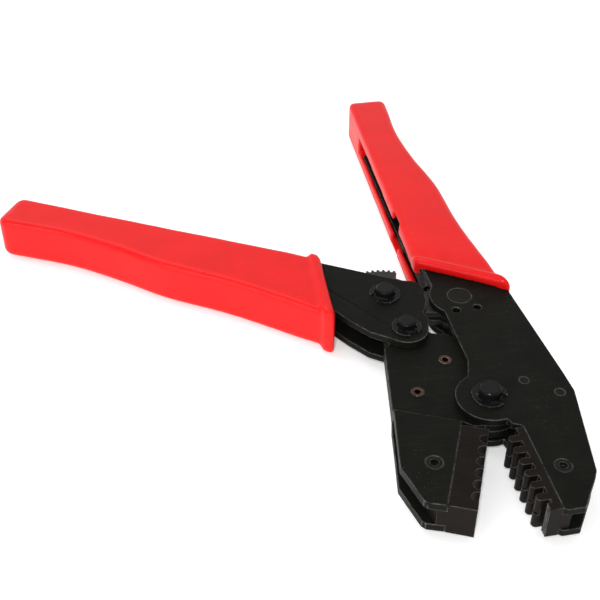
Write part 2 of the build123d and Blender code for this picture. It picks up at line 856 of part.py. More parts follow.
spacers_in_handle = [moving_handle.from_local_coords(Vector(u, v, 0)) for u, v in spacer_spots]
for name, low in (("handle_plate_upper", plate_inner), ("handle_plate_lower", -half)):
    with BuildPart() as handle_plate:
        with BuildSketch(layer(moving_handle, low, low + plate_thickness)):
            add(handle_outline())
        extrude(amount=plate_thickness)
        drill([(handle_pivot.X, handle_pivot.Y)], handle_pin_radius + running)
        drill([(toggle_axis.X, toggle_axis.Y)], toggle_pin_radius)
        drill([(pawl_axis.X, pawl_axis.Y)], pawl_pin_radius)
        drill([(spot.X, spot.Y) for spot in spacers_in_handle], spacer_rivet_radius)
    pieces[name] = handle_plate.part

with BuildPart() as moving_handle_spacers:
    for spot in spacers_in_handle:
        add(spacer(spot))
pieces["moving_handle_spacers"] = moving_handle_spacers.part

pieces["toggle_pin"] = pivot_pin(toggle_axis, toggle_pin_radius, toggle_stub, 0.0)
pieces["toggle_pin_clip"] = pin_clip(toggle_axis, toggle_pin_radius, 0.0, 200.0)
pieces["pawl_pin"] = turned(pawl_axis, [(pawl_pin_radius, -half), (pawl_pin_radius, half)])

# torsion spring round the pawl's pin: close turns and two straight legs
with BuildPart() as pawl_spring:
    low = pawl_half + coil_gap
    high = low + 2 * pawl_wire
    with BuildSketch(layer(level, low, high)):
        with Locations((pawl_axis.X, pawl_axis.Y)):
            Circle(pawl_coil_radius + pawl_wire / 2)
            Circle(pawl_coil_radius - pawl_wire / 2, mode=Mode.SUBTRACT)
    extrude(amount=high - low)
    legs = ((direction(pawl_axis, pawl_tip) - 8.0, low), (handle_angle, low + pawl_wire))
    for angle, level_from in legs:
        foot = polar(pawl_axis, pawl_coil_radius, angle - 90)
        middle = polar(foot, pawl_leg / 2, angle)
        with BuildSketch(layer(level, level_from, level_from + pawl_wire)):
            with Locations(Location((middle.X, middle.Y, 0), (0, 0, angle))):
                Rectangle(pawl_leg, pawl_wire)
        extrude(amount=pawl_wire)
pieces["pawl_spring"] = pawl_spring.part

pieces["moving_grip"] = handle_grip(moving_handle, handle_outline)

# ---------------------------------------------------------------- toggle link and pawl

with BuildPart() as toggle_link:
    eye_far = polar(at(link_length, 0), eye_play, eye_play_angle)
    with BuildSketch(layer(link, -link_half, link_half)):
        Circle(link_hub_radius)
        with Locations((link_length / 2, 0)):
            Rectangle(link_length, 2 * link_arm_half)
        with BuildLine():
            sector_from = tooth_first - tooth_pitch / 2 - link_angle
            sector_turn = tooth_count * tooth_pitch
            rim = CenterArc((0, 0), sector_radius, sector_from, sector_turn)
            Line((0, 0), rim @ 0)
            Line((0, 0), rim @ 1)
        make_face()
        with BuildLine():
            heel = CenterArc((0, 0), heel_radius, 0, sector_from)
            Line((0, 0), heel @ 0)
            Line((0, 0), heel @ 1)
        make_face()
        gaps = tooth_count + 1
        with PolarLocations(sector_radius, gaps, sector_from, sector_turn, endpoint=True):
            add(tooth_gap(), mode=Mode.SUBTRACT)
    extrude(amount=2 * link_half)
    with BuildSketch(layer(link, -link_half, link_half)):
        with Locations((link_length, 0), (eye_far.X, eye_far.Y)):
            Circle(eccentric_radius + eye_wall)
        make_hull()
    extrude(amount=2 * link_half)
    with BuildSketch(layer(link, -link_half, link_half)):
        with Locations((link_length, 0), (eye_far.X, eye_far.Y)):
            Circle(eccentric_radius + eye_clearance)
        make_hull()
    extrude(amount=2 * link_half, mode=Mode.SUBTRACT)
    with BuildSketch(layer(link, -link_half, link_half)):
        Circle(toggle_pin_radius + running)
        with Locations((link_post_u, link_post_v)):
            Circle(link_post_radius)
    extrude(amount=2 * link_half, mode=Mode.SUBTRACT)
    with BuildSketch(layer(link, -hook_slit, hook_slit)):
        with Locations((link_post_u, 0)):
            Rectangle(2 * hook_room, 2 * heel_radius)
    extrude(amount=2 * hook_slit, mode=Mode.SUBTRACT)
pieces["toggle_link"] = toggle_link.part

post_steps = [(link_post_radius, -link_half), (link_post_radius, link_half)]
pieces["link_spring_pin"] = turned(post_spot, post_steps)

with BuildPart() as pawl:
    nose = polar(toggle_axis, sector_radius + pawl_play + pawl_nose, pawl_tip_angle)
    with BuildSketch(layer(level, -pawl_half, pawl_half)):
        with Locations((pawl_axis.X, pawl_axis.Y)):
            Circle(pawl_hub_radius)
        with Locations((nose.X, nose.Y)):
            Circle(pawl_nose)
        make_hull()
    extrude(amount=2 * pawl_half)
    drill([(pawl_axis.X, pawl_axis.Y)], pawl_pin_radius + running)
pieces["pawl"] = pawl.part

# ---------------------------------------------------------------- placing and export

boxes = [piece.bounding_box() for piece in pieces.values()]
lowest = Vector(*(min(getattr(box.min, axis) for box in boxes) for axis in "XYZ"))
highest = Vector(*(max(getattr(box.max, axis) for box in boxes) for axis in "XYZ"))
shift = Vector(-(lowest.X + highest.X) / 2, -(lowest.Y + highest.Y) / 2, -lowest.Z)

os.makedirs("parts", exist_ok=True)
for name, piece in pieces.items():
    placed = piece.moved(Location(shift))
    placed.label = name
    export_step(placed, f"parts/{name}.step")

for name, spot in (
    ("main_pivot", main_pivot),
    ("handle_pivot", handle_pivot),
    ("toggle_axis", toggle_axis),
    ("adjust_axis", adjust_axis),
    ("pawl_axis", pawl_axis),
):
    place = spot + shift
    print(f"{name}: {place.X:.3f} {place.Y:.3f}")
print(f"mid-plane height: {shift.Z:.3f}")
size = highest - lowest
print(f"size: {size.X:.2f} {size.Y:.2f} {size.Z:.2f}")
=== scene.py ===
import json
from math import atan2, cos, pi, radians, sin, sqrt, tan

import bmesh
import bpy
from mathutils import Matrix, Vector, noise

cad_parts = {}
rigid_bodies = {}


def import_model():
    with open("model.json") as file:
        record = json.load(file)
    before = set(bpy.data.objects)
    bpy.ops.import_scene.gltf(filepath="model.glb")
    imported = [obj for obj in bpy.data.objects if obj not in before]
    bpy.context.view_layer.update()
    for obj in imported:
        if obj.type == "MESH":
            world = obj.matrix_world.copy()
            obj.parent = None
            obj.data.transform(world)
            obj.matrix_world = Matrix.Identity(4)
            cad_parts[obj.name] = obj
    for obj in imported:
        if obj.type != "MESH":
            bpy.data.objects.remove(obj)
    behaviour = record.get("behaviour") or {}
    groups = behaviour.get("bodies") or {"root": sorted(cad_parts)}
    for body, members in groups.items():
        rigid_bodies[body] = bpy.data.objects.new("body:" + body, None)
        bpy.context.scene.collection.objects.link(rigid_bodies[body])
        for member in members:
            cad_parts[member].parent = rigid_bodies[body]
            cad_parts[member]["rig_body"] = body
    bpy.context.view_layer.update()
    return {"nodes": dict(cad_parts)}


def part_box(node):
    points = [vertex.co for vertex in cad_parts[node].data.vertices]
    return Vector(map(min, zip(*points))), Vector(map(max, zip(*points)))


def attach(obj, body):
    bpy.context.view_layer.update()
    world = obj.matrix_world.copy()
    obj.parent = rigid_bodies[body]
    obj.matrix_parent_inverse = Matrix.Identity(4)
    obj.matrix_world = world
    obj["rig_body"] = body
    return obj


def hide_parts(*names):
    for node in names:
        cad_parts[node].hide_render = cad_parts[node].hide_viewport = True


bl_info = {
    "name": "Ratchet crimping tool",
    "version": (1, 0, 0),
    "blender": (4, 5, 0),
    "location": "View3D > Sidebar > Crimping tool",
    "description": "Detailed pieces and finishes of a crimping tool, built on its CAD frame",
    "category": "Object",
}

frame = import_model()

MM = 0.001


# ---------------------------------------------------------------- places in the frame


def middle(node):
    low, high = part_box(node)
    return (low + high) / 2


def radius_of(pin):
    low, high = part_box(pin)
    return (high.x - low.x) / 2


main_pivot = middle("main_pivot_pin")
handle_pivot = middle("handle_pivot_pin")
toggle_axis = middle("toggle_pin")
pawl_axis = middle("pawl_pin")
spring_post = middle("link_spring_pin")
spring_anchor = middle("spring_anchor_pin")
mid_height = middle("spring_anchor_pin").z
half_stack = (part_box("frame_plate_upper")[1].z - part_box("frame_plate_lower")[0].z) / 2
plate_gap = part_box("frame_plate_upper")[0].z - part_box("frame_plate_lower")[1].z
grip_low, grip_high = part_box("fixed_grip")
grip_length = grip_high.y - main_pivot.y
lip_half = (grip_high.z - grip_low.z) / 2


# ---------------------------------------------------------------- settings


class GripSettings(bpy.types.PropertyGroup):
    """Sizes and colour of the two PVC handle sleeves"""

    lip_stand: bpy.props.FloatProperty(
        name="Lip height",
        description="How far the rolled lip stands out of the sleeve's sides",
        default=1.0 * MM, min=0.0, unit="LENGTH", precision=4,
    )
    lip_width: bpy.props.FloatProperty(
        name="Lip width", description="Width of the rolled lip along the handle",
        default=4.6 * MM, min=0.0, unit="LENGTH", precision=4,
    )
    lip_round: bpy.props.FloatProperty(
        name="Lip round", description="Radius of the lip's rolled edges",
        default=1.9 * MM, min=0.0, unit="LENGTH", precision=4,
    )
    corner_round: bpy.props.FloatProperty(
        name="Corner round", description="Radius of the sleeve's long corners",
        default=2.3 * MM, min=0.0, unit="LENGTH", precision=4,
    )
    end_round: bpy.props.FloatProperty(
        name="End round", description="Radius of the sleeve's closed end",
        default=4.5 * MM, min=0.0, unit="LENGTH", precision=4,
    )
    wall: bpy.props.FloatProperty(
        name="Wall", description="Thickness of the PVC over the handle plates",
        default=2.5 * MM, min=0.0, unit="LENGTH", precision=4,
    )
    cell: bpy.props.FloatProperty(
        name="Mesh cell", description="Cell size of the finished sleeve mesh",
        default=0.5 * MM, min=0.2 * MM, unit="LENGTH", precision=5,
    )
    unevenness: bpy.props.FloatProperty(
        name="Unevenness", description="Depth of the soft waves left by dipping",
        default=0.1 * MM, min=0.0, unit="LENGTH", precision=5,
    )
    red: bpy.props.FloatVectorProperty(
        name="PVC colour", description="Colour of the sleeves", subtype="COLOR",
        default=(0.80, 0.008, 0.008), min=0.0, max=1.0,
    )
    deep_red: bpy.props.FloatVectorProperty(
        name="Deep colour", description="Darker tone of the mottled PVC", subtype="COLOR",
        default=(0.72, 0.006, 0.007), min=0.0, max=1.0,
    )
    # paler red on the edge mask: rubbed corners, and also a painted highlight along the sleeve's
    # edges
    rubbed_and_sheen_red: bpy.props.FloatVectorProperty(
        name="Rubbed colour", description="Paler tone on rubbed corners", subtype="COLOR",
        default=(0.86, 0.05, 0.045), min=0.0, max=1.0,
    )
    dusty_red: bpy.props.FloatVectorProperty(
        name="Dusty colour", description="Tone of a speck of dust on the PVC", subtype="COLOR",
        default=(0.85, 0.55, 0.50), min=0.0, max=1.0,
    )


class SteelSettings(bpy.types.PropertyGroup):
    """Colours and edges of the steel pieces"""

    edge_break: bpy.props.FloatProperty(
        name="Edge break", description="Width of the broken edge on stamped plates",
        default=0.25 * MM, min=0.0, unit="LENGTH", precision=5,
    )
    fine_break: bpy.props.FloatProperty(
        name="Fine edge break", description="Width of the broken edge on small pieces",
        default=0.1 * MM, min=0.0, unit="LENGTH", precision=5,
    )
    plate_black: bpy.props.FloatVectorProperty(
        name="Plate colour", description="Blackened steel of the plates", subtype="COLOR",
        default=(0.0068, 0.0070, 0.0054), min=0.0, max=1.0,
    )
    # pale colour of the edge mask: bare steel where the black has rubbed off, and also a painted
    # sheen on edges that catch the light
    wear_and_sheen_steel: bpy.props.FloatVectorProperty(
        name="Worn edge", description="Bare steel where the black has rubbed off",
        subtype="COLOR", default=(0.42, 0.41, 0.39), min=0.0, max=1.0,
    )
    die_brown: bpy.props.FloatVectorProperty(
        name="Die colour", description="Brown-black oxide of the dies", subtype="COLOR",
        default=(0.0085, 0.0064, 0.0052), min=0.0, max=1.0,
    )
    pin_black: bpy.props.FloatVectorProperty(
        name="Pin colour", description="Blackened pins, clips and screws", subtype="COLOR",
        default=(0.006, 0.006, 0.006), min=0.0, max=1.0,
    )
    copper: bpy.props.FloatVectorProperty(
        name="Rivet colour", description="Copper-toned hollow rivets", subtype="COLOR",
        default=(0.075, 0.04, 0.028), min=0.0, max=1.0,
    )
    link_grey: bpy.props.FloatVectorProperty(
        name="Link colour", description="Hardened toggle link and pawl", subtype="COLOR",
        default=(0.035, 0.034, 0.032), min=0.0, max=1.0,
    )


class SpringSettings(bpy.types.PropertyGroup):
    """Sizes and colours of the return spring and the pawl's spring"""

    dark_wire: bpy.props.FloatVectorProperty(
        name="Wire colour", description="Oiled, darkened spring wire", subtype="COLOR",
        default=(0.022, 0.021, 0.020), min=0.0, max=1.0,
    )
    # bright colour on the edge mask: wire rubbed bright, and also a painted sheen
    bright_wire: bpy.props.FloatVectorProperty(
        name="Bright wire", description="Wire where it has rubbed bright", subtype="COLOR",
        default=(0.25, 0.24, 0.23), min=0.0, max=1.0,
    )

    wire: bpy.props.FloatProperty(
        name="Wire", description="Diameter of the return spring's wire",
        default=0.8 * MM, min=0.0, unit="LENGTH", precision=5,
    )
    coil_radius: bpy.props.FloatProperty(
        name="Coil radius", description="Radius of the return spring's coils",
        default=2.1 * MM, min=0.0, unit="LENGTH", precision=5,
    )
    straight: bpy.props.FloatProperty(
        name="Straight end", description="Length between an end loop and the coils",
        default=4.4 * MM, min=0.0, unit="LENGTH", precision=5,
    )
    hook_back: bpy.props.FloatProperty(
        name="Hook ahead", description="Room in the long hook on the anchor's side of the post",
        default=0.65 * MM, min=0.0, unit="LENGTH", precision=5,
    )
    hook_away: bpy.props.FloatProperty(
        name="Hook behind", description="Room in the long hook that the post travels into",
        default=4.35 * MM, min=0.0, unit="LENGTH", precision=5,
    )
    hook_aside: bpy.props.FloatProperty(
        name="Hook aside", description="Extra room beside the post in the long hook",
        default=0.5 * MM, min=0.0, unit="LENGTH", precision=5,
    )
    pawl_wire: bpy.props.FloatProperty(
        name="Pawl spring wire", description="Diameter of the pawl spring's wire",
        default=0.5 * MM, min=0.0, unit="LENGTH", precision=5,
    )
    pawl_coil: bpy.props.FloatProperty(
        name="Pawl coil radius", description="Radius of the pawl spring's coils",
        default=2.2 * MM, min=0.0, unit="LENGTH", precision=5,
    )
    pawl_leg: bpy.props.FloatProperty(
        name="Pawl spring leg", description="Length of the pawl spring's legs",
        default=6.5 * MM, min=0.0, unit="LENGTH", precision=5,
    )


class StageSettings(bpy.types.PropertyGroup):
    """Floor, light and camera"""

    floor_colour: bpy.props.FloatVectorProperty(
        name="Floor colour", description="Pale floor under the tool", subtype="COLOR",
        default=(0.86, 0.86, 0.86), min=0.0, max=1.0,
    )
    floor_glow: bpy.props.FloatProperty(
        name="Floor glow", description="How strongly the floor is lit from below",
        default=0.35, min=0.0,
    )
    sky: bpy.props.FloatProperty(
        name="Room light", description="Strength of the even light from all round",
        default=0.55, min=0.0,
    )
    key_power: bpy.props.FloatProperty(
        name="Overhead light", description="Power of the large overhead light",
        default=2.2, min=0.0, unit="POWER",
    )
    front_power: bpy.props.FloatProperty(
        name="Front light", description="Power of the soft light beside the camera",
        default=1.5, min=0.0, unit="POWER",
    )
    spark_power: bpy.props.FloatProperty(
        name="Spark light", description="Power of the small light that sparkles on edges",
        default=1.4, min=0.0, unit="POWER",
    )
    lens: bpy.props.FloatProperty(
        name="Lens", description="Focal length of the camera, in millimetres",
        default=64.42, min=1.0,
    )
    camera_place: bpy.props.FloatVectorProperty(
        name="Camera place", description="Where the camera stands, from the main pivot",
        subtype="TRANSLATION", unit="LENGTH", default=(-97.9 * MM, -211.8 * MM, 223.55 * MM),
    )
    camera_target: bpy.props.FloatVectorProperty(
        name="Camera target", description="Where the camera looks, from the main pivot",
        subtype="TRANSLATION", unit="LENGTH", default=(-45.9 * MM, 54.1 * MM, 5.45 * MM),
    )
    camera_roll: bpy.props.FloatProperty(
        name="Camera roll", description="Turn of the camera about its view line",
        default=radians(0.247), subtype="ANGLE",
    )


# ---------------------------------------------------------------- shader node groups


def add_node(tree, kind, inputs=None, **settings):
    """A shader node with its settings, and its inputs set or linked."""
    node = tree.nodes.new("ShaderNode" + kind)
    for name, value in settings.items():
        setattr(node, name, value)
    for name, value in (inputs or {}).items():
        if isinstance(value, bpy.types.NodeSocket):
            tree.links.new(value, node.inputs[name])
        else:
            node.inputs[name].default_value = value
    return node


def new_group(name, inputs, outputs):
    """An empty node group with named sockets, its start node and its end node."""
    group = bpy.data.node_groups.new(name, "ShaderNodeTree")
    for label, kind, value in inputs:
        socket = group.interface.new_socket(label, in_out="INPUT", socket_type=kind)
        socket.default_value = value
    for label, kind in outputs:
        group.interface.new_socket(label, in_out="OUTPUT", socket_type=kind)
    start = group.nodes.new("NodeGroupInput")
    end = group.nodes.new("NodeGroupOutput")
    return group, start.outputs, end.inputs


def place_group(tree, group, inputs=None):
    node = tree.nodes.new("ShaderNodeGroup")
    node.node_tree = group
    for name, value in (inputs or {}).items():
        node.inputs[name].default_value = value
    return node.outputs


def wear_and_sheen_edges_group():
    """Mask that is 1 on edges and corners, broken up into patches: rubbed wear, and also a painted
    sheen where the edges catch the light.
    """
    group, given, out = new_group(
        "Wear and sheen edges",
        [
            ("Reach", "NodeSocketFloat", 0.4 * MM),
            ("Amount", "NodeSocketFloat", 0.6),
            ("Patches per metre", "NodeSocketFloat", 350.0),
        ],
        [("Wear and sheen", "NodeSocketFloat")],
    )
    surface = add_node(group, "NewGeometry").outputs
    place = add_node(group, "TexCoord").outputs["Object"]
    # edges found by the bevel normal: the pale colour laid on them is rubbed wear and also a
    # painted sheen
    rounded = add_node(group, "Bevel", {"Radius": given["Reach"]}, samples=6).outputs[0]
    match = add_node(
        group, "VectorMath", {0: rounded, 1: surface["True Normal"]}, operation="DOT_PRODUCT"
    ).outputs["Value"]
    edge = add_node(
        group, "MapRange",
        {"Value": match, "From Min": 0.985, "From Max": 0.82, "To Min": 0.0, "To Max": 1.0},
    ).outputs["Result"]
    patches = add_node(
        group, "TexNoise",
        {"Vector": place, "Scale": given["Patches per metre"], "Detail": 4.0, "Roughness": 0.6},
    ).outputs["Fac"]
    spread = add_node(
        group, "MapRange", {"Value": patches, "From Min": 0.32, "From Max": 0.56}
    ).outputs["Result"]
    worn = add_node(group, "Math", {0: edge, 1: spread}, operation="MULTIPLY").outputs[0]
    scaled = add_node(group, "Math", {0: worn, 1: given["Amount"]}, operation="MULTIPLY")
    group.links.new(scaled.outputs[0], out["Wear and sheen"])
    return group


def grain_group():
    """Fine grain of a surface: a height, and a slower variation for its gloss."""
    group, given, out = new_group(
        "Fine grain",
        [
            ("Grains per metre", "NodeSocketFloat", 2500.0),
            ("Clouds per metre", "NodeSocketFloat", 120.0),
        ],
        [("Height", "NodeSocketFloat"), ("Clouds", "NodeSocketFloat")],
    )
    place = add_node(group, "TexCoord").outputs["Object"]
    fine = add_node(
        group, "TexNoise",
        {"Vector": place, "Scale": given["Grains per metre"], "Detail": 3.0, "Roughness": 0.55},
    ).outputs["Fac"]
    clouds = add_node(
        group, "TexNoise",
        {"Vector": place, "Scale": given["Clouds per metre"], "Detail": 5.0, "Roughness": 0.6},
    ).outputs["Fac"]
    group.links.new(fine, out["Height"])
    group.links.new(clouds, out["Clouds"])
    return group


def scratches_group():
    """Thin straight scratches and machining lines, stretched along one direction."""
    group, given, out = new_group(
        "Drawn lines",
        [
            ("Lines per metre", "NodeSocketFloat", 3000.0),
            ("Turn", "NodeSocketFloat", 0.0),
            ("Stretch", "NodeSocketFloat", 40.0),
        ],
        [("Height", "NodeSocketFloat"), ("Lines", "NodeSocketFloat")],
    )
    place = add_node(group, "TexCoord").outputs["Object"]
    turned = add_node(
        group, "VectorRotate", {"Vector": place, "Angle": given["Turn"]}, rotation_type="Z_AXIS"
    ).outputs[0]
    parts = add_node(group, "SeparateXYZ", {0: turned}).outputs
    short = add_node(
        group, "Math", {0: parts["X"], 1: given["Stretch"]}, operation="DIVIDE"
    ).outputs[0]
    drawn = add_node(group, "CombineXYZ", {"X": short, "Y": parts["Y"], "Z": parts["Z"]}).outputs[0]
    lines = add_node(
        group, "TexNoise",
        {"Vector": drawn, "Scale": given["Lines per metre"], "Detail": 2.0, "Roughness": 0.5},
    ).outputs["Fac"]
    sharp = add_node(
        group, "MapRange", {"Value": lines, "From Min": 0.60, "From Max": 0.72}
    ).outputs["Result"]
    group.links.new(lines, out["Height"])
    group.links.new(sharp, out["Lines"])
    return group


def dust_group():
    """Specks of pale dust on faces that look up."""
    group, given, out = new_group(
        "Dust specks",
        [
            ("Specks per metre", "NodeSocketFloat", 900.0),
            ("Amount", "NodeSocketFloat", 0.25),
        ],
        [("Dust", "NodeSocketFloat")],
    )
    place = add_node(group, "TexCoord").outputs["Object"]
    surface = add_node(group, "NewGeometry").outputs
    facing = add_node(group, "SeparateXYZ", {0: surface["Normal"]}).outputs["Z"]
    upward = add_node(
        group, "MapRange", {"Value": facing, "From Min": 0.2, "From Max": 0.9}
    ).outputs["Result"]
    specks = add_node(
        group, "TexVoronoi", {"Vector": place, "Scale": given["Specks per metre"]}
    ).outputs["Distance"]
    dots = add_node(
        group, "MapRange", {"Value": specks, "From Min": 0.16, "From Max": 0.06}
    ).outputs["Result"]
    thin = add_node(
        group, "TexNoise", {"Vector": place, "Scale": 60.0, "Detail": 3.0}
    ).outputs["Fac"]
    drift = add_node(
        group, "MapRange", {"Value": thin, "From Min": 0.48, "From Max": 0.70}
    ).outputs["Result"]
    lying = add_node(group, "Math", {0: dots, 1: upward}, operation="MULTIPLY").outputs[0]
    drifted = add_node(group, "Math", {0: lying, 1: drift}, operation="MULTIPLY").outputs[0]
    scaled = add_node(group, "Math", {0: drifted, 1: given["Amount"]}, operation="MULTIPLY")
    group.links.new(scaled.outputs[0], out["Dust"])
    return group


effects = {}


def effect(name):
    """The shared node group of that name, built the first time it is asked for."""
    makers = {
        "wear and sheen edges": wear_and_sheen_edges_group,
        "grain": grain_group,
        "lines": scratches_group,
        "dust": dust_group,
    }
    if name not in effects:
        effects[name] = makers[name]()
    return effects[name]


# ---------------------------------------------------------------- materials


steel_dust = (0.30, 0.28, 0.25)


def shift(colour, factor):
    """A colour made darker or paler."""
    return tuple(min(1.0, channel * factor) for channel in colour)


def blackened_steel(
    name, black, worn, roughness, wear_and_sheen=0.6, reach=0.35 * MM, lines=0.0, turn=0.0,
    metallic=0.35, specular=0.3, spread=0.5, bump=0.10,
):
    """Dark oxidised steel: clouded black, drawn lines, pale edges that are bare steel and also a
    painted sheen, and a grained gloss.
    """
    material = bpy.data.materials.new(name)
    material.use_nodes = True
    tree = material.node_tree
    shader = tree.nodes["Principled BSDF"].inputs
    grain = place_group(tree, effect("grain"), {"Grains per metre": 2600.0})
    edges = place_group(tree, effect("wear and sheen edges"), {"Reach": reach, "Amount": wear_and_sheen})
    drawn = place_group(tree, effect("lines"), {"Turn": turn})
    dust = place_group(tree, effect("dust"), {"Amount": 0.22})
    clouded = add_node(
        tree, "Mix",
        {
            "Factor": grain["Clouds"],
            6: (*shift(black, 1 - spread), 1),
            7: (*shift(black, 1 + spread), 1),
        },
        data_type="RGBA",
    ).outputs[2]
    scuff = add_node(
        tree, "Math", {0: drawn["Lines"], 1: lines}, operation="MULTIPLY"
    ).outputs[0]
    # pale edges and scuff lines: rubbed steel, and on the edges also a painted sheen
    bare_and_sheen = add_node(
        tree, "Math", {0: edges["Wear and sheen"], 1: scuff}, operation="ADD", use_clamp=True
    ).outputs[0]
    steel = add_node(
        tree, "Mix", {"Factor": bare_and_sheen, 6: clouded, 7: (*worn, 1)}, data_type="RGBA"
    ).outputs[2]
    dusty = add_node(
        tree, "Mix", {"Factor": dust["Dust"], 6: steel, 7: (*steel_dust, 1)}, data_type="RGBA"
    ).outputs[2]
    tree.links.new(dusty, shader["Base Color"])
    gloss = add_node(
        tree, "MapRange",
        {"Value": grain["Clouds"], "To Min": roughness - 0.10, "To Max": roughness + 0.14},
    ).outputs["Result"]
    tree.links.new(gloss, shader["Roughness"])
    metal = add_node(
        tree, "MapRange", {"Value": bare_and_sheen, "To Min": metallic, "To Max": 0.95}
    ).outputs["Result"]
    tree.links.new(metal, shader["Metallic"])
    shader["Specular IOR Level"].default_value = specular
    height = add_node(
        tree, "Math", {0: drawn["Height"], 1: 0.5 * lines}, operation="MULTIPLY"
    ).outputs[0]
    relief = add_node(tree, "Math", {0: grain["Height"], 1: height}, operation="ADD").outputs[0]
    rough = add_node(
        tree, "Bump", {"Height": relief, "Strength": bump, "Distance": 0.06 * MM}
    ).outputs[0]
    tree.links.new(rough, shader["Normal"])
    return material


def red_pvc(name, sizes):
    """Dipped PVC: mottled red, satin gloss with duller clouds, pores and soft dents."""
    material = bpy.data.materials.new(name)
    material.use_nodes = True
    tree = material.node_tree
    shader = tree.nodes["Principled BSDF"].inputs
    grain = place_group(
        tree, effect("grain"), {"Grains per metre": 1500.0, "Clouds per metre": 60.0}
    )
    scuffs = place_group(
        tree, effect("lines"), {"Lines per metre": 700.0, "Stretch": 14.0, "Turn": 0.3}
    )
    edges = place_group(
        tree, effect("wear and sheen edges"),
        {"Reach": 1.2 * MM, "Amount": 0.5, "Patches per metre": 160.0},
    )
    dust = place_group(tree, effect("dust"), {"Specks per metre": 500.0, "Amount": 0.10})
    contrast = add_node(
        tree, "MapRange", {"Value": grain["Clouds"], "From Min": 0.35, "From Max": 0.65}
    ).outputs["Result"]
    mottled = add_node(
        tree, "Mix", {"Factor": contrast, 6: (*sizes.deep_red, 1), 7: (*sizes.red, 1)},
        data_type="RGBA",
    ).outputs[2]
    # paler corners: rubbed PVC, and also a painted highlight on the edges
    rubbed = add_node(
        tree, "Mix", {"Factor": edges["Wear and sheen"], 6: mottled, 7: (*sizes.rubbed_and_sheen_red, 1)},
        data_type="RGBA",
    ).outputs[2]
    dusty = add_node(
        tree, "Mix", {"Factor": dust["Dust"], 6: rubbed, 7: (*sizes.dusty_red, 1)},
        data_type="RGBA",
    ).outputs[2]
    tree.links.new(dusty, shader["Base Color"])
    clouds = add_node(
        tree, "MapRange", {"Value": contrast, "To Min": 0.34, "To Max": 0.48}
    ).outputs["Result"]
    scuffed = add_node(
        tree, "Math", {0: scuffs["Lines"], 1: 0.10}, operation="MULTIPLY_ADD"
    )
    tree.links.new(clouds, scuffed.inputs[2])
    tree.links.new(scuffed.outputs[0], shader["Roughness"])
    shader["Specular IOR Level"].default_value = 0.10
    shader["Subsurface Weight"].default_value = 0.08
    shader["Subsurface Radius"].default_value = (1.0, 0.2, 0.1)
    shader["Subsurface Scale"].default_value = 1.0 * MM
    shader["Coat Weight"].default_value = 0.22
    shader["Coat Roughness"].default_value = 0.12
    rough = add_node(
        tree, "Bump", {"Height": grain["Height"], "Strength": 0.10, "Distance": 0.08 * MM}
    ).outputs[0]
    tree.links.new(rough, shader["Normal"])
    return material


# ---------------------------------------------------------------- helpers for pieces


def paint(objects, material):
    for piece in objects:
        piece.data.materials.clear()
        piece.data.materials.append(material)


def break_edges(node, width, angle=32.0, segments=2):
    """Breaks a CAD node's sharp edges with modifiers and leaves its own mesh as it is."""
    piece = frame["nodes"][node]
    weld = piece.modifiers.new("Joined corners", "WELD")
    weld.merge_threshold = 0.002 * MM
    flat = piece.modifiers.new("Flat faces", "DECIMATE")
    flat.decimate_type = "DISSOLVE"
    flat.angle_limit = radians(0.6)
    edge = piece.modifiers.new("Broken edges", "BEVEL")
    edge.width = width
    edge.segments = segments
    edge.limit_method = "ANGLE"
    edge.angle_limit = radians(angle)
    edge.use_clamp_overlap = False
    edge.miter_outer = "MITER_ARC"
    smooth = piece.modifiers.new("Even shading", "WEIGHTED_NORMAL")
    smooth.keep_sharp = False
    return piece


def new_piece(name, mesh, node, material):
    """A piece that stands for a CAD node, on that node's body, in that node's finish."""
    piece = bpy.data.objects.new(name, mesh)
    bpy.context.scene.collection.objects.link(piece)
    paint([piece], material)
    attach(piece, frame["nodes"][node]["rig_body"])
    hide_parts(node)
    return piece


def shown_mesh(piece):
    """The mesh of an object with its modifiers applied."""
    bpy.context.view_layer.update()
    graph = bpy.context.evaluated_depsgraph_get()
    return bpy.data.meshes.new_from_object(piece.evaluated_get(graph))


def smooth_faces(mesh):
    for face in mesh.polygons:
        face.use_smooth = True


def wire_mesh(name, points, radius):
    """A round wire along points, with a ring of faces at each step and flat ends."""
    curve = bpy.data.curves.new(name, "CURVE")
    curve.dimensions = "3D"
    line = curve.splines.new("POLY")
    line.points.add(len(points) - 1)
    for spot, point in zip(line.points, points):
        spot.co = (*point, 1)
    curve.bevel_depth = radius
    curve.bevel_resolution = 4
    curve.use_fill_caps = True
    temporary = bpy.data.objects.new(name, curve)
    bpy.context.scene.collection.objects.link(temporary)
    mesh = shown_mesh(temporary)
    bpy.data.objects.remove(temporary)
    bpy.data.curves.remove(curve)
    mesh.name = name
    smooth_faces(mesh)
    return mesh


# ---------------------------------------------------------------- handle sleeves

# A sleeve is drawn in its handle's own millimetres: u along the handle from the main
# pivot, v across it and outwards, w square to the plates.
# The moving handle's own line is turned by handle_bend from the line through its two
# pins, and its pivot stands at (pivot_u, pivot_v).
handle_bend = 50.5
pivot_u = 24.6
pivot_v = 17.15

